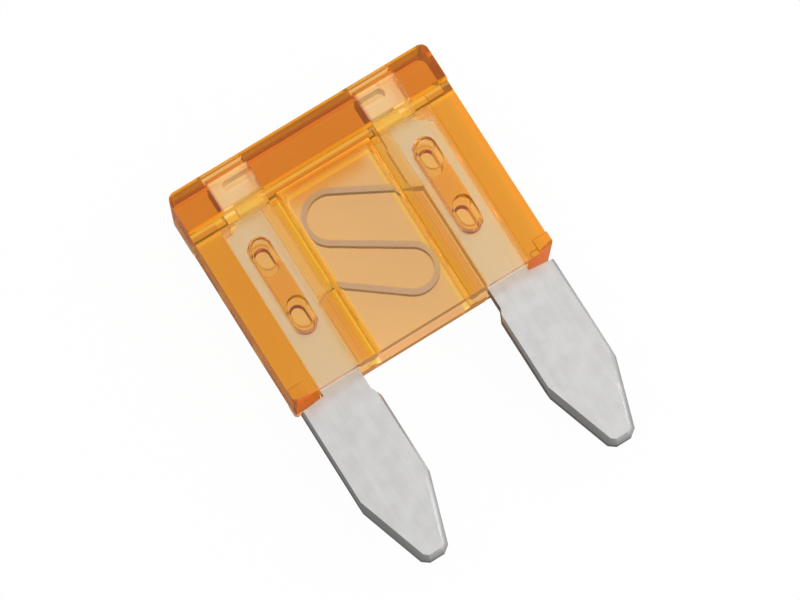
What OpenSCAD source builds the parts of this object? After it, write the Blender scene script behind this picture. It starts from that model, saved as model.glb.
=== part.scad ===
// Small blade fuse: a clear amber housing over the top of a flat one-piece metal element.
// It lies on its back. X runs across the two blades, Y from the blade tips to the head, and Z up
// through the thickness. The origin is under the middle of the whole fuse.

/* [Housing] */
// Width of the housing across the two blades
housing_w = 10.9; // [10.8:0.1:11.4]
// Height of the housing from its underside to the top of the head
housing_h = 8.8; // [8.6:0.1:9.4]
// Thickness of the head, which is the thickest part
head_t = 3.6; // [3.4:0.1:4.2]
// Height of the thick band of the head
head_h = 1.65; // [1.6:0.05:1.9]
// How far the side rails and the window box stand back from the face of the head
rail_step = 0.3; // [0.1:0.05:0.35]
// How far the channels over the terminals stand back from the face of the head
channel_step = 0.4; // [0.35:0.05:0.5]
// Corner radius at the top of the head, seen from the front
head_r = 0.35; // [0.2:0.05:0.6]
// Corner radius at the two lower corners
foot_r = 0.15; // [0.1:0.05:0.35]
// Width of the full-thickness foot at each lower corner
foot_w = 0.6; // [0.5:0.05:0.8]
// Height of the full-thickness foot at each lower corner
foot_h = 0.5; // [0.4:0.05:0.8]
// Bevel along the outer edges of the head
head_bevel = 0.12; // [0.05:0.01:0.2]

/* [Walls] */
// Wall in front of and behind the hollow window
window_wall = 0.6; // [0.4:0.05:0.8]
// Wall in front of and behind each terminal
terminal_wall = 0.45; // [0.3:0.05:0.5]
// Wall in front of and behind the groove for each land
land_wall = 0.85; // [0.65:0.05:0.95]
// Width of the solid rail beside each terminal
rail_w = 1.05; // [0.95:0.05:1.15]
// Width of the rib between each terminal and the hollow that holds the link
rib_w = 0.7; // [0.6:0.05:0.8]
// Solid plastic above the hollow, measured from the top of the head
roof_h = 1.8; // [1.7:0.05:2.1]
// Radius of the inside edges of the hollow
hollow_r = 0.3; // [0.1:0.05:0.4]
// How far the room round each terminal ends below the roof of the hollow
pocket_drop = 0.2; // [0:0.05:0.2]
// Clear space between metal and plastic
fit_gap = 0.05; // [0.02:0.01:0.08]

/* [Test windows] */
// Thick lip of plastic above each test window
lip_h = 0.38; // [0.25:0.01:0.45]
// Thin wall in front of and behind each test tab
test_wall = 0.45; // [0.4:0.05:0.75]
// Plastic left between a test window and the step of the head
test_floor = 0.2; // [0.15:0.05:0.25]

/* [Stakes] */
// Length of one punch mark over a stake
punch_l = 1.2; // [1:0.05:1.4]
// Width of the punch mark
punch_w = 0.76; // [0.6:0.02:0.8]
// Depth of the punch mark from the channel floor
punch_d = 0.55; // [0.4:0.05:0.7]
// Plastic left between a punch mark and the end of the slot
punch_end = 0.12; // [0.06:0.02:0.3]

/* [Terminals] */
// Thickness of the metal
metal_t = 0.8; // [0.65:0.05:0.9]
// Width of one terminal, under its land
terminal_w = 1.6; // [1.5:0.05:1.7]
// Extra width of the land that carries the link
land_w = 0.4; // [0.25:0.05:0.5]
// How far the shoulder of a terminal lies below the roof of the hollow
shoulder_drop = 0.7; // [0.6:0.05:0.9]
// Height of the bevel between the shoulder and the neck
neck_bevel_h = 0.7; // [0.5:0.05:0.75]
// Width of the neck that runs up into the head
neck_w = 1.05; // [0.9:0.05:1.2]
// Width of the slot through each terminal
slot_w = 0.96; // [0.85:0.01:1]
// Height of the metal left between the slot and the shoulder
slot_top = 0.3; // [0.25:0.05:0.5]
// Height of the lower end of the slot above the underside
slot_up = 2; // [1.7:0.1:2.1]
// Width of the metal left between the slot and the outer edge
slot_edge = 0.37; // [0.32:0.01:0.45]

/* [Test tabs] */
// Width of the tab that shows in the test window
tab_w = 1.6; // [1.4:0.05:1.7]
// Height of the tab
tab_h = 1.25; // [1.15:0.05:1.3]
// How far the end of the tab lies below the top of the head
tab_drop = 0.1; // [0.05:0.05:0.2]
// Height of the round-ended notch in the tab
notch_h = 0.44; // [0.3:0.02:0.5]
// Reach of the notch from the inner edge of the tab
notch_l = 1.1; // [0.8:0.05:1.2]

/* [Blades] */
// How far the outer edge of a blade lies inside the side of the housing
blade_inset = 0.1; // [0:0.05:0.15]
// Width of a blade
blade_w = 2.8; // [2.6:0.05:2.85]
// Length of a blade below the housing
blade_l = 7.2; // [6.5:0.1:8]
// Length of the tapered end
taper_l = 2.75; // [2:0.05:3]
// Width of the flat at the tip
tip_w = 1; // [0.7:0.05:1.2]
// Size of the cut corners at the tip
tip_cut = 0.2; // [0.1:0.05:0.25]
// Width of the coined bevel round the tapered end
coin_w = 0.2; // [0.15:0.05:0.35]
// Depth of the coined bevel round the tapered end
coin_d = 0.2; // [0.1:0.05:0.3]
// Width and depth of the bevel along the straight edges
edge_bevel = 0.1; // [0.05:0.01:0.15]
// Drop of the outer shoulder of the blade below the underside, and again over its slope
outer_drop = 0.1; // [0.05:0.05:0.4]
// Length of the narrow stretch on the inner side, below the underside
inner_drop = 0.8; // [0.5:0.05:1]

/* [Link] */
// Width of the thin link
link_w = 0.22; // [0.18:0.01:0.3]
// Thickness of the thin link
link_t = 0.4; // [0.2:0.05:0.6]
// Radius of the lower loop, to the middle of the link
lower_loop_r = 0.88; // [0.75:0.01:0.95]
// Radius of the upper loop, to the middle of the link
upper_loop_r = 0.97; // [0.85:0.01:1.05]
// Height of the middle of the lower loop above the underside
lower_loop_up = 2.13; // [1.9:0.01:2.3]
// How far the middle of the upper loop lies below the roof of the hollow
upper_loop_drop = 1.7; // [1.6:0.01:1.85]
// Clear space between the lower loop and the side of the hollow
lower_loop_gap = 0.15; // [0.05:0.01:0.3]
// Clear space between the upper loop and the side of the hollow
upper_loop_gap = 0.25; // [0.05:0.01:0.35]
// Height of the left root of the link above the underside
left_root_up = 3.1; // [3:0.05:3.3]
// How far the right root of the link lies below the roof of the hollow
right_root_drop = 2.25; // [2.1:0.05:2.4]
// Level stretch of the link at its left root
left_root_l = 0.5; // [0.3:0.05:0.6]

/* [Hidden] */
$fn = 64;
over = 1;                                   // how far a cutting shape runs past the face it cuts
join = 0.15;                                // how deep one metal form runs into the next
loop_steps = 30;                            // points round each loop of the link

top_y = (housing_h + blade_l) / 2;
under_y = top_y - housing_h;
tip_y = under_y - blade_l;
mid_z = head_t / 2;
half_w = housing_w / 2;

roof_y = top_y - roof_h;
pocket_y = roof_y - pocket_drop;
terminal_out = half_w - rail_w - fit_gap;
terminal_in = terminal_out - terminal_w;
hollow_w = 2 * (terminal_in - fit_gap - rib_w);
land_in = terminal_in - land_w;
slot_x = terminal_out - slot_edge - slot_w / 2;
shoulder_y = roof_y - shoulder_drop;
slot_l = shoulder_y - slot_top - slot_up - under_y;
slot_y = under_y + slot_up + slot_l / 2;
tab_y = top_y - tab_drop - tab_h;
tab_in = land_in - fit_gap / 2;
tab_out = tab_in + tab_w;
neck_in = land_in + fit_gap;
neck_out = neck_in + neck_w;
notch_y = tab_y + tab_h * 0.6;

blade_out = half_w - blade_inset;
blade_in = blade_out - blade_w;
tip_in = (blade_in + blade_out - tip_w) / 2;
tip_out = tip_in + tip_w;
taper_y = tip_y + taper_l;
cut_x = tip_cut * (blade_w - tip_w) / 2 / taper_l;
// Outline of the tip, round its two cut corners
tip = [
    [tip_in - cut_x, tip_y + tip_cut],
    [tip_in + tip_cut, tip_y],
    [tip_out - tip_cut, tip_y],
    [tip_out + cut_x, tip_y + tip_cut],
];

metal_slot_t = metal_t + 2 * fit_gap;
body_t = head_t - 2 * rail_step;
channel_t = head_t - 2 * channel_step;
pocket_t = channel_t - 2 * terminal_wall;
hollow_t = body_t - 2 * window_wall;
groove_t = body_t - 2 * land_wall;
test_t = head_t - 2 * test_wall;
channel_in = terminal_in - 2 * fit_gap;
channel_out = terminal_out + 2 * fit_gap;
stake_w = slot_w - 2 * fit_gap;
stake_l = slot_l - 2 * fit_gap;
punch_reach = (stake_l - punch_l) / 2 - punch_end;

// Middles of the two loops, each set off from its side of the hollow
lower_mid = [hollow_w / 2 - lower_loop_gap - link_w / 2 - lower_loop_r, under_y + lower_loop_up];
upper_mid = [-(hollow_w / 2 - upper_loop_gap - link_w / 2 - upper_loop_r), roof_y - upper_loop_drop];
left_root = [-land_in, under_y + left_root_up];
left_bend = [-land_in + left_root_l, left_root.y];
right_root = [land_in, roof_y - right_root_drop];

// Heading of a line, in degrees
function heading(p, q) = atan2(q.y - p.y, q.x - p.x);
// Point at a radius and an angle from a middle
function around(mid, r, a) = mid + r * [cos(a), sin(a)];

// The link runs from the left bend, left round the lower loop, back across the hollow, right round
// the upper loop and down to the right root. Each straight run is tangent to its loops.
in_a = heading(left_bend, lower_mid) - asin(lower_loop_r / norm(lower_mid - left_bend));
across_a = heading(lower_mid, upper_mid)
    + asin((lower_loop_r + upper_loop_r) / norm(upper_mid - lower_mid));
out_a = heading(upper_mid, right_root) - asin(upper_loop_r / norm(right_root - upper_mid));

// Unit vector to the left of a heading
function side(a) = [-sin(a), cos(a)];
// Middle line of the link as [point, heading], with one point every few degrees round each loop
link_path = concat(
    [[left_root - [join, 0], 0], [left_bend, in_a / 2]],
    [for (i = [0:loop_steps])
        let (a = in_a + (across_a - in_a) * i / loop_steps)
            [around(lower_mid, lower_loop_r, a - 90), a]],
    [for (i = [0:loop_steps])
        let (a = across_a + (out_a - across_a) * i / loop_steps)
            [around(upper_mid, upper_loop_r, a + 90), a]],
    [[around(right_root, join, out_a), out_a]]
);

// A box of a given thickness, centred on the middle plane of the fuse
module slab(x0, x1, y0, y1, t) {
    translate([x0, y0, mid_z - t / 2]) cube([x1 - x0, y1 - y0, t]);
}

// A round-ended bar along Y, centred on the middle plane
module oblong(w, l, t) {
    translate([0, 0, mid_z - t / 2]) {
        translate([-w / 2, -(l - w) / 2, 0]) cube([w, l - w, t]);
        for (s = [-1, 1]) translate([0, s * (l - w) / 2, 0]) cylinder(d = w, h = t);
    }
}

// What lies outside a rounded corner; q points from the corner's middle towards the corner
module corner_waste(corner, q, r) {
    difference() {
        translate([corner.x - r / 2 + q.x * r / 2, corner.y - r / 2 + q.y * r / 2, -over])
            cube([r, r, head_t + 2 * over]);
        translate([corner.x, corner.y, -2 * over]) cylinder(r = r, h = head_t + 4 * over);
    }
}

module rounded_corners() {
    for (s = [-1, 1]) {
        corner_waste([s * (half_w - head_r), top_y - head_r], [s, 1], head_r);
        corner_waste([s * (half_w - foot_r), under_y + foot_r], [s, -1], foot_r);
    }
}

// Bevels along the four long edges of the head, front and back, top and step
module head_bevels() {
    for (z = [0, head_t], y = [top_y, top_y - head_h])
        translate([0, y, z]) rotate([45, 0, 0])
            cube([housing_w + 2 * over, head_bevel * sqrt(2), head_bevel * sqrt(2)], center = true);
}

// The solid outside of the housing, before anything is hollowed out
module housing_block() {
    difference() {
        union() {
            slab(-half_w, half_w, under_y, top_y, body_t);
            slab(-half_w, half_w, top_y - head_h, top_y, head_t);
            for (s = [-1, 1]) {
                foot_x = s * (half_w - foot_w / 2);
                slab(foot_x - foot_w / 2, foot_x + foot_w / 2, under_y, under_y + foot_h, head_t);
            }
        }
        rounded_corners();
        head_bevels();
    }
}

// Shallow channels over both terminals, on the front and on the back
module channels() {
    difference() {
        for (s = [0, 1]) mirror([s, 0, 0])
            slab(channel_in, channel_out, under_y - over, top_y - head_h, head_t + 2 * over);
        slab(-housing_w, housing_w, under_y - 2 * over, top_y, channel_t);
    }
}

// The hollow for the link, with rounded edges along its sides and at its roof
module hollow() {
    edge_z = hollow_t / 2 - hollow_r;
    hollow_l = roof_y - under_y + over;
    intersection() {
        union() {
            slab(hollow_r - hollow_w / 2, hollow_w / 2 - hollow_r, under_y - over, roof_y, hollow_t);
            slab(-hollow_w / 2, hollow_w / 2, under_y - over, roof_y, 2 * edge_z);
            for (s = [-1, 1], f = [-1, 1])
                translate([s * (hollow_w / 2 - hollow_r), under_y - over, mid_z + f * edge_z])
                    rotate([-90, 0, 0]) cylinder(r = hollow_r, h = hollow_l);
        }
        union() {
            slab(-hollow_w, hollow_w, under_y - 2 * over, roof_y - hollow_r, hollow_t + over);
            slab(-hollow_w, hollow_w, under_y - 2 * over, roof_y, 2 * edge_z);
            for (f = [-1, 1]) translate([-hollow_w, roof_y - hollow_r, mid_z + f * edge_z])
                rotate([0, 90, 0]) cylinder(r = hollow_r, h = 2 * hollow_w);
        }
    }
}

// Inside of one half: pocket for the terminal, groove for the land, the slot that the test tab is
// pushed through, and the room round the tab behind its test window
module terminal_space() {
    slab(terminal_in - fit_gap, terminal_out + fit_gap, under_y - over, pocket_y, pocket_t);
    slab(land_in - fit_gap, terminal_in, under_y - over, pocket_y, groove_t);
    slab(hollow_w / 2 - join, terminal_in, under_y - over, pocket_y, metal_slot_t);
    slab(tab_in - fit_gap, tab_out + fit_gap, pocket_y - join, top_y + over, metal_slot_t);
    slab(tab_in - fit_gap, tab_out + fit_gap, top_y - head_h + test_floor, top_y - lip_h, test_t);
}

module housing() {
    color([0.93, 0.5, 0.1, 0.75]) {
        difference() {
            housing_block();
            channels();
            hollow();
            for (s = [0, 1]) mirror([s, 0, 0]) terminal_space();
            punch_marks();
        }
        stakes();
    }
}

// One stake for each terminal runs through its slot, from the front wall to the back wall
module stakes() {
    difference() {
        for (s = [-1, 1]) translate([s * slot_x, slot_y, 0]) oblong(stake_w, stake_l, pocket_t + join);
        punch_marks();
    }
}

// Marks of the punches that pressed the plastic into both ends of each slot
module punch_marks() {
    difference() {
        for (s = [-1, 1], e = [-1, 1]) translate([s * slot_x, slot_y + e * punch_reach, 0])
            oblong(punch_w, punch_l, head_t + 2 * over);
        slab(-housing_w, housing_w, under_y - over, top_y + over, channel_t - 2 * punch_d);
    }
}

// Outline of one side of the element, with the inner edge towards the middle of the fuse
module side_outline(root_y) {
    land_y = root_y - link_w / 2;
    polygon([
        tip[0],
        tip[1],
        tip[2],
        tip[3],
        [blade_out, taper_y],
        [blade_out, under_y - 2 * outer_drop - fit_gap],
        [terminal_out, under_y - outer_drop - fit_gap],
        [terminal_out, shoulder_y],
        [neck_out, shoulder_y + neck_bevel_h],
        [neck_out, tab_y],
        [tab_out, tab_y],
        [tab_out, tab_y + tab_h],
        [tab_in, tab_y + tab_h],
        [tab_in, tab_y],
        [neck_in, tab_y],
        [neck_in, shoulder_y],
        [land_in, shoulder_y],
        [land_in, land_y],
        [terminal_in, land_y - land_w / 2],
        [terminal_in, under_y - inner_drop],
        [blade_in, under_y - inner_drop - land_w],
        [blade_in, taper_y],
    ]);
}

// A bevel cut along one edge of the outline, on both faces; metal lies to the left of p to q
module edge_cut(p, q, w, d) {
    for (f = [0, 1])
        translate([p.x, p.y, mid_z]) mirror([0, 0, f]) rotate([90, 0, heading(p, q) + 90])
            translate([0, 0, -over]) linear_extrude(height = norm(q - p) + 2 * over)
                polygon([
                    [1.5 * w, metal_t / 2 + d / 2],
                    [-w / 2, metal_t / 2 - 1.5 * d],
                    [-w / 2, metal_t / 2 + d / 2],
                ]);
}

// One blade with its terminal, slot and test tab
module element_side(root_y) {
    difference() {
        translate([0, 0, mid_z - metal_t / 2]) linear_extrude(height = metal_t) side_outline(root_y);
        translate([slot_x, slot_y, 0]) oblong(slot_w, slot_l, metal_t + 2 * over);
        translate([tab_in + notch_l / 2 - over / 2, notch_y, 0]) rotate([0, 0, 90])
            oblong(notch_h, notch_l + over, metal_t + 2 * over);
        edge_cut([blade_in, taper_y], tip[0], coin_w, coin_d);
        for (i = [0:2]) edge_cut(tip[i], tip[i + 1], coin_w, coin_d);
        edge_cut(tip[3], [blade_out, taper_y], coin_w, coin_d);
        edge_cut([blade_in, under_y - inner_drop - land_w], [blade_in, taper_y], edge_bevel, edge_bevel);
        edge_cut([blade_out, taper_y], [blade_out, under_y - 2 * outer_drop], edge_bevel, edge_bevel);
    }
}

// The thin S-shaped link, a band of even width along its middle line
module link() {
    translate([0, 0, mid_z - link_t / 2]) linear_extrude(height = link_t) polygon(concat(
        [for (p = link_path) p[0] + link_w / 2 * side(p[1])],
        [for (i = [len(link_path) - 1:-1:0]) link_path[i][0] - link_w / 2 * side(link_path[i][1])]
    ));
}

module fuse_element() {
    color([0.78, 0.78, 0.77]) {
        element_side(right_root.y);
        mirror([1, 0, 0]) element_side(left_root.y);
        link();
    }
}

housing();
fuse_element();
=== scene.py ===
import math

import bmesh
import bpy
from mathutils import Matrix, Vector


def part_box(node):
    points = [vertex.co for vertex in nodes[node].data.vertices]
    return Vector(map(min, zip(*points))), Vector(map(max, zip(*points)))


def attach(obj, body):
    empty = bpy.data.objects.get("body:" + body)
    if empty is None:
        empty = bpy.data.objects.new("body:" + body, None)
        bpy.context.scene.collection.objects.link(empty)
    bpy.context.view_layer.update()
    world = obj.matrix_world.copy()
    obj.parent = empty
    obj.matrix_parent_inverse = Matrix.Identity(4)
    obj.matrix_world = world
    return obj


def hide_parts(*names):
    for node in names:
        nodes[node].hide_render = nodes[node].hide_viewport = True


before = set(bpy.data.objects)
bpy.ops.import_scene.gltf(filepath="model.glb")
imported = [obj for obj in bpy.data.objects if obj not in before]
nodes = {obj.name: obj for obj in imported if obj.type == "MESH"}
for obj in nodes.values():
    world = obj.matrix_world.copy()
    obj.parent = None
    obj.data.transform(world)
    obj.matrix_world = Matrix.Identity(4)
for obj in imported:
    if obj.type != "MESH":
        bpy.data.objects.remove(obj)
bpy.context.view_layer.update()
mm = 0.001
print("frame loaded:", ", ".join(sorted(nodes)))


# small helpers for shader trees

def addNode(tree, kind, place, **values):
    node = tree.nodes.new(kind)
    node.location = place
    for name, value in values.items():
        setattr(node, name, value)
    return node


def newMaterial(name):
    material = bpy.data.materials.new(name)
    material.use_nodes = True
    material.node_tree.nodes.clear()
    return material, material.node_tree


def startGroup(name, inputs, outputs):
    # inputs are (name, socket type, default), outputs are (name, socket type)
    group = bpy.data.node_groups.new(name, "ShaderNodeTree")
    for label, kind, default in inputs:
        socket = group.interface.new_socket(label, in_out="INPUT", socket_type=kind)
        socket.default_value = default
    for label, kind in outputs:
        group.interface.new_socket(label, in_out="OUTPUT", socket_type=kind)
    entry = addNode(group, "NodeGroupInput", (-900, 0))
    leave = addNode(group, "NodeGroupOutput", (900, 0))
    return group, entry, leave


def placeGroup(tree, group, place, **values):
    # an input named "From Y" is given as FromY
    node = addNode(tree, "ShaderNodeGroup", place, node_tree=group)
    for socket in node.inputs:
        label = socket.name.replace(" ", "")
        if label in values:
            socket.default_value = values.pop(label)
    assert not values, values
    return node


def blendColour(tree, mask, place, below, above):
    # a colour mix whose two ends are plain colours or sockets
    mix = addNode(tree, "ShaderNodeMix", place, data_type="RGBA")
    tree.links.new(mask, mix.inputs[0])
    for socket, value in ((mix.inputs[6], below), (mix.inputs[7], above)):
        if isinstance(value, tuple):
            socket.default_value = (*value, 1)
        else:
            tree.links.new(value, socket)
    return mix.outputs[2]


def mathNode(tree, operation, place, first, second=None, clamp=False):
    node = addNode(tree, "ShaderNodeMath", place, operation=operation, use_clamp=clamp)
    for socket, value in zip(node.inputs, (first, second)):
        if value is None:
            continue
        if isinstance(value, (int, float)):
            socket.default_value = value
        else:
            tree.links.new(value, socket)
    return node.outputs[0]


# fine handling marks, used by the plastic and the metal

def fineMarksGroup():
    group, entry, leave = startGroup(
        "fine marks",
        [("Scale", "NodeSocketFloat", 1.0), ("Amount", "NodeSocketFloat", 0.5),
         ("Seed", "NodeSocketFloat", 0.0)],
        [("Mask", "NodeSocketFloat"), ("Height", "NodeSocketFloat")])
    links = group.links
    coords = addNode(group, "ShaderNodeTexCoord", (-900, 300))
    # two sets of long thin streaks at different turns
    streaks = []
    for row, (turn, stretch) in enumerate(((0.5, 9.0), (-0.9, 14.0))):
        mapping = addNode(group, "ShaderNodeMapping", (-700, 300 - 350 * row))
        mapping.inputs["Rotation"].default_value = (0, 0, turn)
        mapping.inputs["Scale"].default_value = (stretch, 1, 1)
        links.new(coords.outputs["Object"], mapping.inputs["Vector"])
        noise = addNode(group, "ShaderNodeTexNoise", (-500, 300 - 350 * row), noise_dimensions="4D")
        noise.inputs["Detail"].default_value = 3
        links.new(mapping.outputs[0], noise.inputs["Vector"])
        links.new(entry.outputs["Scale"], noise.inputs["Scale"])
        links.new(entry.outputs["Seed"], noise.inputs["W"])
        thin = addNode(group, "ShaderNodeMapRange", (-300, 300 - 350 * row),
                       interpolation_type="SMOOTHSTEP")
        thin.inputs["From Min"].default_value = 0.62   # only the peaks of the noise are marks
        thin.inputs["From Max"].default_value = 0.72
        links.new(noise.outputs[0], thin.inputs["Value"])
        streaks.append(thin.outputs[0])
    both = mathNode(group, "MAXIMUM", (-50, 200), streaks[0], streaks[1])
    mask = mathNode(group, "MULTIPLY", (150, 200), both, entry.outputs["Amount"])
    links.new(mask, leave.inputs["Mask"])
    links.new(mathNode(group, "MULTIPLY", (350, 0), mask, -1.0), leave.inputs["Height"])
    return group


# slow waves of a surface that isn't quite flat

def softWavesGroup():
    group, entry, leave = startGroup(
        "soft waves",
        [("Scale", "NodeSocketFloat", 1.0), ("Detail", "NodeSocketFloat", 2.0),
         ("Seed", "NodeSocketFloat", 0.0)],
        [("Mask", "NodeSocketFloat"), ("Height", "NodeSocketFloat")])
    links = group.links
    coords = addNode(group, "ShaderNodeTexCoord", (-700, 0))
    noise = addNode(group, "ShaderNodeTexNoise", (-450, 0), noise_dimensions="4D")
    links.new(coords.outputs["Object"], noise.inputs["Vector"])
    for label, target in (("Scale", "Scale"), ("Detail", "Detail"), ("Seed", "W")):
        links.new(entry.outputs[label], noise.inputs[target])
    spread = addNode(group, "ShaderNodeMapRange", (-200, 0), interpolation_type="SMOOTHSTEP")
    spread.inputs["From Min"].default_value = 0.3
    spread.inputs["From Max"].default_value = 0.7
    links.new(noise.outputs[0], spread.inputs["Value"])
    links.new(spread.outputs[0], leave.inputs["Mask"])
    links.new(noise.outputs[0], leave.inputs["Height"])
    return group


# faces that stand upright when the fuse lies down: mould sides of the plastic, cut edges of the metal

def uprightFacesGroup():
    group, entry, leave = startGroup(
        "upright faces",
        [("Start", "NodeSocketFloat", 0.75), ("Full", "NodeSocketFloat", 0.4)],
        [("Mask", "NodeSocketFloat")])
    links = group.links
    coords = addNode(group, "ShaderNodeTexCoord", (-700, 0))
    split = addNode(group, "ShaderNodeSeparateXYZ", (-500, 0))
    links.new(coords.outputs["Normal"], split.inputs[0])
    level = mathNode(group, "ABSOLUTE", (-300, 0), split.outputs["Z"])
    mask = addNode(group, "ShaderNodeMapRange", (0, 0), interpolation_type="SMOOTHSTEP")
    links.new(level, mask.inputs["Value"])
    links.new(entry.outputs["Full"], mask.inputs["From Min"])
    links.new(entry.outputs["Start"], mask.inputs["From Max"])
    mask.inputs["To Min"].default_value = 1
    mask.inputs["To Max"].default_value = 0
    links.new(mask.outputs[0], leave.inputs["Mask"])
    return group


# a place on the fuse: a band in Y, a band in distance from the middle in X, all to the right of a line
# in X, and all below a height in Z

def placeOnFuseGroup():
    group, entry, leave = startGroup(
        "place on the fuse",
        [("From Y", "NodeSocketFloat", -1.0), ("To Y", "NodeSocketFloat", 1.0),
         ("Near X", "NodeSocketFloat", -1.0), ("Far X", "NodeSocketFloat", 1.0),
         ("Right X", "NodeSocketFloat", -1.0), ("Top Z", "NodeSocketFloat", 1.0),
         ("Soft", "NodeSocketFloat", 0.0001)],
        [("Mask", "NodeSocketFloat")])
    links = group.links
    coords = addNode(group, "ShaderNodeTexCoord", (-900, 300))
    split = addNode(group, "ShaderNodeSeparateXYZ", (-700, 300))
    links.new(coords.outputs["Object"], split.inputs[0])
    away = mathNode(group, "ABSOLUTE", (-500, 300), split.outputs["X"])
    height = split.outputs["Y"]
    mask = None
    limits = ((height, "From Y", 1), (height, "To Y", 0), (away, "Near X", 1), (away, "Far X", 0),
              (split.outputs["X"], "Right X", 1), (split.outputs["Z"], "Top Z", 0))
    for row, (value, edge, inside) in enumerate(limits):
        stop = mathNode(group, "ADD", (-300, 300 - 200 * row), entry.outputs[edge], entry.outputs["Soft"])
        step = addNode(group, "ShaderNodeMapRange", (0, 300 - 200 * row), interpolation_type="SMOOTHSTEP")
        step.inputs["To Min"].default_value = 1 - inside
        step.inputs["To Max"].default_value = inside
        links.new(value, step.inputs["Value"])
        links.new(entry.outputs[edge], step.inputs["From Min"])
        links.new(stop, step.inputs["From Max"])
        share = step.outputs[0]
        mask = share if mask is None else mathNode(group, "MULTIPLY", (300, 300 - 200 * row), mask, share)
    links.new(mask, leave.inputs["Mask"])
    return group


fineMarks = fineMarksGroup()
softWaves = softWavesGroup()
placeOnFuse = placeOnFuseGroup()
uprightFaces = uprightFacesGroup()
print("node groups built")


def colourByPlace(tree, base, regions, corner):
    # a base colour with others laid over it at places on the fuse, the later ones on top
    colour = base
    for row, (layer, place) in enumerate(regions):
        left, height = corner[0], corner[1] + 200 * row
        region = placeGroup(tree, placeOnFuse, (left - 300, height), **place)
        colour = blendColour(tree, region.outputs["Mask"], (left, height), colour, layer)
    return colour


# pieces made from the CAD shapes, with clean flats and rounded edges

def freshPiece(name, look, onOutside):
    # one mesh without seams or extra edges on its flats, whose edges take a bevel by weight
    cad = nodes[name]
    work = bmesh.new()
    work.from_mesh(cad.data)
    bmesh.ops.remove_doubles(work, verts=work.verts, dist=1e-7)
    bmesh.ops.dissolve_limit(work, angle_limit=math.radians(0.5), verts=work.verts, edges=work.edges)
    weight = work.edges.layers.float.new("bevel_weight_edge")
    for edge in work.edges:
        if edge.calc_face_angle(0) > math.radians(look["edgeAngle"]):
            middle = (edge.verts[0].co + edge.verts[1].co) / 2
            edge[weight] = 1.0 if onOutside(middle) else look["innerShare"]
    for face in work.faces:
        face.smooth = True
    mesh = bpy.data.meshes.new(name)
    work.to_mesh(mesh)
    work.free()
    if "custom_normal" in mesh.attributes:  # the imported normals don't fit rounded edges
        mesh.attributes.remove(mesh.attributes["custom_normal"])
    piece = bpy.data.objects.new(name + "Piece", mesh)
    bpy.context.scene.collection.objects.link(piece)
    bevel = piece.modifiers.new("soft edges", "BEVEL")
    bevel.width = look["edgeRound"]
    bevel.segments = look["edgeSteps"]
    bevel.limit_method = "WEIGHT"
    bevel.miter_outer = "MITER_ARC"
    shading = piece.modifiers.new("flat faces shade flat", "WEIGHTED_NORMAL")
    shading.weight = 100
    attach(piece, "root")
    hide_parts(name)
    return piece


# housing in clear amber plastic

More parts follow.
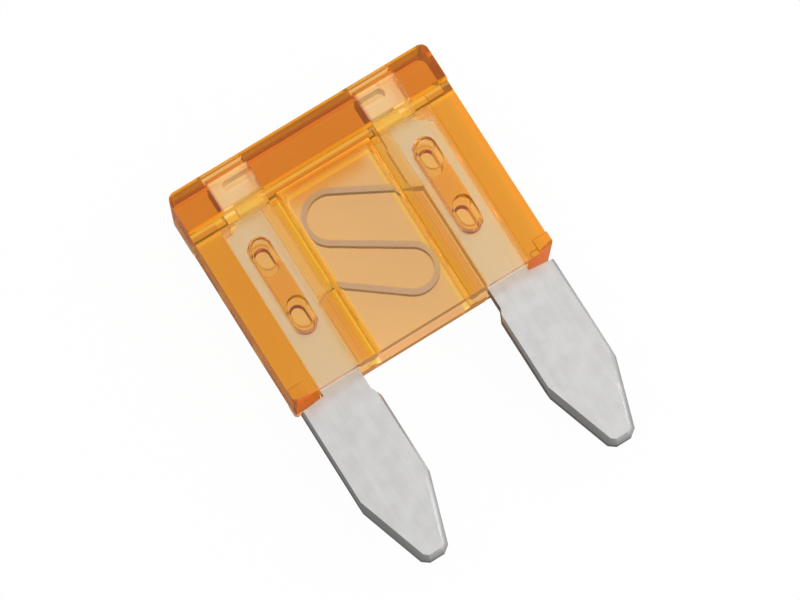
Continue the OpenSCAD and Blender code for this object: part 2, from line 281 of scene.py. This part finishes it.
housingLook = {
    "edgeRound": 0.025 * mm,
    "innerShare": 0.4,                      # bevel of the inside edges, as a share of the outer ones
    "edgeSteps": 3,
    "edgeAngle": 40,                        # degrees between faces from which an edge is rounded
    "ior": 1.53,
    "roughness": 0.09,
    "markRoughness": 0.10,                  # added where the surface is marked
    "sideRoughness": 0.03,                  # added on the upright faces, which the mould leaves matt
    "absorb": 1200.0,                       # per metre, for the colour that is taken out most
    "keep": (0.955, 0.75, 0.0),
    "lampTint": (0.95, 0.95, 0.95),         # what one surface lets through from a lamp
    "mirrorTint": (0.65, 0.6, 0.5),
    "bodyTint": (0.99, 0.90, 1.0),
    "tints": [                              # colour and place, the later ones on top
        # painted shade: a deeper colour along the underside, in the back wall, for the shaded table seen
        # through it
        ((1.0, 0.66, 0.50), {"ToY": -0.55 * mm, "TopZ": 1.4 * mm, "Soft": 0.15 * mm}),
        # painted shade: a deeper colour under the roof of the hollow
        ((0.95, 0.66, 0.34), {"FromY": 5.3 * mm, "FarX": 1.3 * mm, "Soft": 0.7 * mm}),
        # the solid ribs, from the underside up to the link's roots, of which the right one is higher
        ((0.98, 0.81, 0.72), {"FromY": -0.7 * mm, "ToY": 2.15 * mm, "NearX": 2.13 * mm, "FarX": 2.72 * mm,
                              "Soft": 0.05 * mm}),
        ((0.98, 0.81, 0.72), {"FromY": -0.7 * mm, "ToY": 3.75 * mm, "NearX": 2.13 * mm, "FarX": 2.72 * mm,
                              "RightX": 0.0, "Soft": 0.05 * mm}),
        # painted shade makes the thick head a little deeper, and a painted reflection makes it clearer where
        # its top face mirrors the inside
        ((0.81, 0.46, 0.60), {"FromY": 6.35 * mm}),
        ((0.94, 0.73, 0.75), {"FromY": 7.64 * mm, "Soft": 0.05 * mm}),
        # painted highlights: the edges of the hollow are seen as yellow bands, for light that the plastic
        # pipes along them
        ((1.0, 0.93, 0.40), {"NearX": 1.86 * mm, "FarX": 2.1 * mm, "ToY": 6.3 * mm, "Soft": 0.07 * mm}),
        ((1.0, 0.93, 0.40), {"FarX": 2.1 * mm, "FromY": 6.12 * mm, "ToY": 6.3 * mm, "Soft": 0.07 * mm}),
        # over the test tabs it is clearer
        ((0.99, 0.92, 0.99), {"FromY": 6.35 * mm, "ToY": 7.64 * mm, "NearX": 2.28 * mm, "FarX": 3.88 * mm}),
    ],
    # painted glow: emission on the sides and round edges of the plastic, standing in for light that the
    # plastic pipes and lets out there
    "roundStart": 0.98,                     # how level a face still is where a round edge starts
    "roundFull": 0.88,
    "sideGlow": (0.13, 0.035, 0.0),
    "sideGlows": [
        # painted glow on the walls inside
        ((0.05, 0.025, 0.0), {"FromY": -0.75 * mm, "FarX": 5.3 * mm, "Soft": 0.02 * mm}),
        # painted glow on the lower ends of the window walls, and of the feet
        ((0.36, 0.16, 0.04), {"ToY": -0.79 * mm, "FarX": 2.75 * mm, "Soft": 0.02 * mm}),
        ((0.34, 0.09, 0.0), {"ToY": -0.79 * mm, "NearX": 3.0 * mm, "Soft": 0.02 * mm}),
    ],
    "edgeGlow": (0.12, 0.09, 0.0),
    "edgeGlows": [
        # painted glow on the round edges of the underside
        ((0.60, 0.27, 0.06), {"ToY": -0.75 * mm, "Soft": 0.02 * mm}),
    ],
    "flatGlow": (0.0, 0.0, 0.0),
    "flatGlows": [
        # a faint painted blue glow, standing in for haze, over the slots of the terminals
        ((0.0, 0.0, 0.018), {"FromY": 1.1 * mm, "ToY": 5.1 * mm, "NearX": 2.95 * mm, "FarX": 3.88 * mm,
                             "Soft": 0.05 * mm}),
        # a painted yellow highlight just above the hollow
        ((0.14, 0.15, 0.03), {"FromY": 6.17 * mm, "ToY": 6.3 * mm, "Soft": 0.07 * mm}),
    ],
    "headGlows": [
        # painted glow along the step at the back of the head, and along its top
        ((0.16, 0.20, 0.01), {"FromY": 6.2 * mm, "ToY": 6.42 * mm, "TopZ": 0.4 * mm, "Soft": 0.02 * mm}),
        ((0.20, 0.10, 0.0), {"FromY": 7.97 * mm, "Soft": 0.02 * mm}),
    ],
    "waveScale": 420.0,
    "waveDetail": 1.0,
    "waveSeed": 3.1,
    "waveHeight": 0.02 * mm,
    "markScale": 260.0,
    "markAmount": 0.4,
    "markSeed": 1.7,
}


# painted glow: emission colour by place and by how the faces lie, standing in for light that the plastic
# pipes
def paintedPipedGlow(tree, look, upright):
    rounded = placeGroup(tree, uprightFaces, (-1300, 2600), Start=look["roundStart"], Full=look["roundFull"])
    flats = colourByPlace(tree, look["flatGlow"], look["flatGlows"], (-1900, 2600))
    edges = colourByPlace(tree, look["edgeGlow"], look["edgeGlows"], (-1900, 3100))
    walls = colourByPlace(tree, look["sideGlow"], look["sideGlows"], (-1900, 3400))
    glow = blendColour(tree, rounded.outputs["Mask"], (-1100, 2800), flats, edges)
    glow = blendColour(tree, upright.outputs["Mask"], (-900, 3000), glow, walls)
    return colourByPlace(tree, glow, look["headGlows"], (-650, 3200))


def amberPlastic(look):
    material, tree = newMaterial("amber plastic")
    links = tree.links
    waves = placeGroup(tree, softWaves, (-900, -200), Scale=look["waveScale"], Detail=look["waveDetail"],
                       Seed=look["waveSeed"])
    marks = placeGroup(tree, fineMarks, (-900, 100), Scale=look["markScale"], Amount=look["markAmount"],
                       Seed=look["markSeed"])
    upright = placeGroup(tree, uprightFaces, (-900, 350))
    marked = mathNode(tree, "MULTIPLY_ADD", (-650, 100), marks.outputs["Mask"], look["markRoughness"])
    marked.node.inputs[2].default_value = look["roughness"]
    matt = mathNode(tree, "MULTIPLY", (-650, 300), upright.outputs["Mask"], look["sideRoughness"])
    rough = mathNode(tree, "ADD", (-450, 200), marked, matt)
    bump = addNode(tree, "ShaderNodeBump", (-600, -200))
    bump.inputs["Strength"].default_value = 1.0
    bump.inputs["Distance"].default_value = look["waveHeight"]
    links.new(waves.outputs["Height"], bump.inputs["Height"])
    glass = addNode(tree, "ShaderNodeBsdfPrincipled", (-300, 100))
    # base colour with painted shade, a painted reflection and painted highlights laid over it at places
    tintWithPaintedLightAndShade = colourByPlace(tree, look["bodyTint"], look["tints"], (-650, 600))
    links.new(tintWithPaintedLightAndShade, glass.inputs["Base Color"])
    # the painted glow, standing in for piped light, goes into the emission
    paintedGlow = paintedPipedGlow(tree, look, upright)
    links.new(paintedGlow, glass.inputs["Emission Color"])
    glass.inputs["Emission Strength"].default_value = 1.0
    glass.inputs["Specular Tint"].default_value = (*look["mirrorTint"], 1)
    glass.inputs["Transmission Weight"].default_value = 1.0
    glass.inputs["IOR"].default_value = look["ior"]
    links.new(rough, glass.inputs["Roughness"])
    links.new(bump.outputs[0], glass.inputs["Normal"])
    # lamps shine through the plastic instead of being blocked by it
    through = addNode(tree, "ShaderNodeBsdfTransparent", (-300, -500))
    through.inputs["Color"].default_value = (*look["lampTint"], 1)
    path = addNode(tree, "ShaderNodeLightPath", (-300, 500))
    mix = addNode(tree, "ShaderNodeMixShader", (50, 100))
    links.new(path.outputs["Is Shadow Ray"], mix.inputs["Fac"])
    links.new(glass.outputs[0], mix.inputs[1])
    links.new(through.outputs[0], mix.inputs[2])
    soak = addNode(tree, "ShaderNodeVolumeAbsorption", (50, -200))
    soak.inputs["Color"].default_value = (*look["keep"], 1)
    soak.inputs["Density"].default_value = look["absorb"]
    output = addNode(tree, "ShaderNodeOutputMaterial", (300, 100))
    links.new(mix.outputs[0], output.inputs["Surface"])
    links.new(soak.outputs[0], output.inputs["Volume"])
    return material


def makeHousing():
    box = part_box("housing")
    near = 0.02 * mm                        # an edge this close to the box is an outer one

    def onOutside(point):
        return any(abs(point[axis] - corner[axis]) < near for corner in box for axis in range(3))

    housing = freshPiece("housing", housingLook, onOutside)
    housing.data.materials.append(amberPlastic(housingLook))
    print("housing made")


# fuse element in satin zinc

elementLook = {
    "edgeRound": 0.04 * mm,
    "innerShare": 0.6,
    "edgeSteps": 3,
    "edgeAngle": 25,
    "brightZinc": (0.775, 0.77, 0.76),
    "dullZinc": (0.60, 0.595, 0.585),
    "zincs": [                              # colour and place, the later ones on top
        # the strip inside the housing is lighter and bluer
        ((0.83, 0.91, 1.0), {"FromY": -0.8 * mm}),
        # the lands are a little brighter, and the test tabs are the brightest part
        ((0.93, 0.92, 0.97), {"FromY": -0.8 * mm, "FarX": 2.72 * mm}),
        ((0.97, 0.97, 0.97), {"FromY": 6.3 * mm}),
        # the link is duller
        ((0.66, 0.66, 0.95), {"FromY": -0.8 * mm, "FarX": 2.0 * mm}),
    ],
    "cutZinc": (0.42, 0.415, 0.41),         # sheared edges of the strip
    "cutZincs": [
        # of the link; and of the terminals inside the housing, much lighter: painted light for what reaches
        # them in the narrow gaps beside the plastic
        ((0.46, 0.45, 0.54), {"FromY": -0.8 * mm, "FarX": 2.0 * mm}),
        ((0.92, 0.92, 0.95), {"FromY": -0.8 * mm, "NearX": 2.0 * mm}),
    ],
    "roughLow": 0.30,
    "roughHigh": 0.48,
    "cutRough": 0.25,                       # added on the sheared edges
    "mottleScale": 1700.0,
    "mottleDetail": 5.0,
    "mottleSeed": 0.4,
    "grainScale": 5200.0,                   # across the strip, per metre
    "grainStretch": 0.05,                   # how much slower the grain changes along the blades
    "grainDetail": 4.0,
    "grainTone": 0.6,                       # share of the grain in the tone, the rest is mottle
    "markScale": 500.0,
    "markAmount": 0.5,
    "markSeed": 5.2,
    "bumpHeight": 0.003 * mm,
}


def zincStrip(look):
    material, tree = newMaterial("zinc strip")
    links = tree.links
    mottle = placeGroup(tree, softWaves, (-1000, 200), Scale=look["mottleScale"], Detail=look["mottleDetail"],
                        Seed=look["mottleSeed"])
    marks = placeGroup(tree, fineMarks, (-1000, -100), Scale=look["markScale"], Amount=look["markAmount"],
                       Seed=look["markSeed"])
    # lines left by rolling the strip, along the blades
    coords = addNode(tree, "ShaderNodeTexCoord", (-1500, 500))
    along = addNode(tree, "ShaderNodeMapping", (-1300, 500))
    along.inputs["Scale"].default_value = (1, look["grainStretch"], 1)
    links.new(coords.outputs["Object"], along.inputs["Vector"])
    grain = addNode(tree, "ShaderNodeTexNoise", (-1000, 500))
    grain.inputs["Scale"].default_value = look["grainScale"]
    grain.inputs["Detail"].default_value = look["grainDetail"]
    links.new(along.outputs[0], grain.inputs["Vector"])
    grainShare = mathNode(tree, "MULTIPLY", (-800, 500), grain.outputs[0], look["grainTone"])
    mottleShare = mathNode(tree, "MULTIPLY", (-800, 300), mottle.outputs["Mask"], 1 - look["grainTone"])
    dullness = mathNode(tree, "ADD", (-750, 400), grainShare, mottleShare)
    cut = placeGroup(tree, uprightFaces, (-700, 1700))
    flats = blendColour(tree, dullness, (-600, 300), look["brightZinc"], look["dullZinc"])
    flats = colourByPlace(tree, flats, look["zincs"], (-500, 800))
    # sheared edges, those of the terminals inside the housing lightened with painted light
    edges = colourByPlace(tree, look["cutZinc"], look["cutZincs"], (-500, 1900))
    colour = blendColour(tree, cut.outputs["Mask"], (-200, 900), flats, edges)
    satin = addNode(tree, "ShaderNodeMapRange", (-600, 0))
    satin.inputs["To Min"].default_value = look["roughLow"]
    satin.inputs["To Max"].default_value = look["roughHigh"]
    links.new(dullness, satin.inputs["Value"])
    rough = mathNode(tree, "MULTIPLY_ADD", (-350, 100), cut.outputs["Mask"], look["cutRough"])
    links.new(satin.outputs[0], rough.node.inputs[2])
    height = mathNode(tree, "ADD", (-600, -300), grain.outputs[0], marks.outputs["Height"])
    bump = addNode(tree, "ShaderNodeBump", (-350, -300))
    bump.inputs["Distance"].default_value = look["bumpHeight"]
    links.new(height, bump.inputs["Height"])
    metal = addNode(tree, "ShaderNodeBsdfPrincipled", (-100, 100))
    metal.inputs["Metallic"].default_value = 1.0
    links.new(colour, metal.inputs["Base Color"])
    links.new(rough, metal.inputs["Roughness"])
    links.new(bump.outputs[0], metal.inputs["Normal"])
    output = addNode(tree, "ShaderNodeOutputMaterial", (250, 100))
    links.new(metal.outputs[0], output.inputs["Surface"])
    return material


def makeElement():
    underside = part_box("housing")[0].y

    def onOutside(point):
        return point.y < underside

    element = freshPiece("fuse_element", elementLook, onOutside)
    element.data.materials.append(zincStrip(elementLook))
    print("fuse element made")


# white table

tableLook = {
    "size": 0.8,
    "white": (0.94, 0.94, 0.94),
    "cameraGlow": 0.97,                     # share of plain white that the camera sees
    "clearGlow": 0.65,                      # the same through plastic
    "mirrorDim": 0.75,                      # share of its light that the table loses in reflections
}


def whiteTable(look):
    material, tree = newMaterial("white table")
    links = tree.links
    diffuse = addNode(tree, "ShaderNodeBsdfDiffuse", (-100, 100))
    diffuse.inputs["Color"].default_value = (*look["white"], 1)
    path = addNode(tree, "ShaderNodeLightPath", (-1100, 300))
    mirrorRay = mathNode(tree, "SUBTRACT", (-950, 100), path.outputs["Is Glossy Ray"],
                         path.outputs["Is Transmission Ray"], clamp=True)
    mirrored = mathNode(tree, "MULTIPLY", (-800, 100), mirrorRay, look["mirrorDim"])
    forCamera = mathNode(tree, "MULTIPLY", (-800, 450), path.outputs["Is Camera Ray"], look["cameraGlow"])
    forClear = mathNode(tree, "MULTIPLY", (-800, 280), path.outputs["Is Transmission Ray"],
                        look["clearGlow"])
    seen = mathNode(tree, "ADD", (-600, 350), forCamera, forClear)
    share = mathNode(tree, "ADD", (-400, 300), seen, mirrored, clamp=True)
    strength = mathNode(tree, "SUBTRACT", (-400, 0), 1.0, mirrorRay)
    glow = addNode(tree, "ShaderNodeEmission", (-100, -80))
    links.new(strength, glow.inputs["Strength"])
    mix = addNode(tree, "ShaderNodeMixShader", (150, 100))
    links.new(share, mix.inputs["Fac"])
    links.new(diffuse.outputs[0], mix.inputs[1])
    links.new(glow.outputs[0], mix.inputs[2])
    output = addNode(tree, "ShaderNodeOutputMaterial", (400, 100))
    links.new(mix.outputs[0], output.inputs["Surface"])
    return material


def layTable():
    half = tableLook["size"] / 2
    mesh = bpy.data.meshes.new("table")
    corners = [(-half, -half, 0), (half, -half, 0), (half, half, 0), (-half, half, 0)]
    mesh.from_pydata(corners, [], [(0, 1, 2, 3)])
    table = bpy.data.objects.new("table", mesh)
    bpy.context.scene.collection.objects.link(table)
    mesh.materials.append(whiteTable(tableLook))
    print("table laid")


# soft daylight studio

lightLook = {
    "skyTop": 0.92,                         # soft light from above
    "skyEdge": 0.5,                         # dim surroundings at the height of the table
    "topFrom": 0.9,                         # how far up the sky reaches its full light
    "fromLeft": 0.3,                        # and the left is dimmer than the right
    "fromRight": 1.5,
    "lamps": [                              # name, place, size and strength in watts
        ("key", (0.30, -0.06, 0.20), 0.20, 0.5),
        ("fill", (-0.24, 0.16, 0.24), 0.26, 0.15),
    ],
}


def softSky(world):
    tree = world.node_tree
    coords = addNode(tree, "ShaderNodeTexCoord", (-700, 300))
    split = addNode(tree, "ShaderNodeSeparateXYZ", (-500, 300))
    tree.links.new(coords.outputs["Generated"], split.inputs[0])
    climb = addNode(tree, "ShaderNodeMapRange", (-300, 300))
    climb.inputs["From Max"].default_value = lightLook["topFrom"]
    climb.inputs["To Min"].default_value = lightLook["skyEdge"]
    climb.inputs["To Max"].default_value = lightLook["skyTop"]
    tree.links.new(split.outputs["Z"], climb.inputs["Value"])
    across = addNode(tree, "ShaderNodeMapRange", (-300, 0))
    across.inputs["From Min"].default_value = -1
    across.inputs["To Min"].default_value = lightLook["fromLeft"]
    across.inputs["To Max"].default_value = lightLook["fromRight"]
    tree.links.new(split.outputs["X"], across.inputs["Value"])
    sky = tree.nodes["Background"]
    sky.inputs["Color"].default_value = (1, 1, 1, 1)
    tree.links.new(mathNode(tree, "MULTIPLY", (-100, 200), climb.outputs[0], across.outputs[0]),
                   sky.inputs["Strength"])


def lightStudio():
    world = bpy.data.worlds.new("studio")
    bpy.context.scene.world = world
    world.use_nodes = True
    softSky(world)
    middle = Vector((0, 0, 0))
    for name, place, size, power in lightLook["lamps"]:
        lamp = bpy.data.lights.new(name, "AREA")
        lamp.size = size
        lamp.energy = power
        holder = bpy.data.objects.new(name, lamp)
        holder.location = place
        holder.rotation_euler = (middle - Vector(place)).to_track_quat("-Z", "Y").to_euler()
        bpy.context.scene.collection.objects.link(holder)
    print("lights placed")


# camera of the photograph

cameraLook = {
    "aim": (-0.12 * mm, 0.64 * mm, 1.8 * mm),
    "toCamera": (-0.1132, -0.1615, 0.9804),  # steep view, leaning to the blade end
    "up": (0.5181, 0.8323, 0.1969),
    "distance": 140 * mm,
    "lens": 174.65,
    "sensor": 36,
}


def placeCamera():
    look = cameraLook
    back = Vector(look["toCamera"]).normalized()
    right = Vector(look["up"]).cross(back).normalized()
    up = back.cross(right)
    camera = bpy.data.cameras.new("camera")
    camera.lens = look["lens"]
    camera.sensor_width = look["sensor"]
    holder = bpy.data.objects.new("camera", camera)
    turn = Matrix((right, up, back)).transposed()
    holder.matrix_world = Matrix.Translation(Vector(look["aim"]) + back * look["distance"]) @ turn.to_4x4()
    bpy.context.scene.collection.objects.link(holder)
    bpy.context.scene.camera = holder
    print("camera placed")


makeHousing()
makeElement()
layTable()
lightStudio()
placeCamera()
bpy.context.scene.view_settings.view_transform = "Standard"
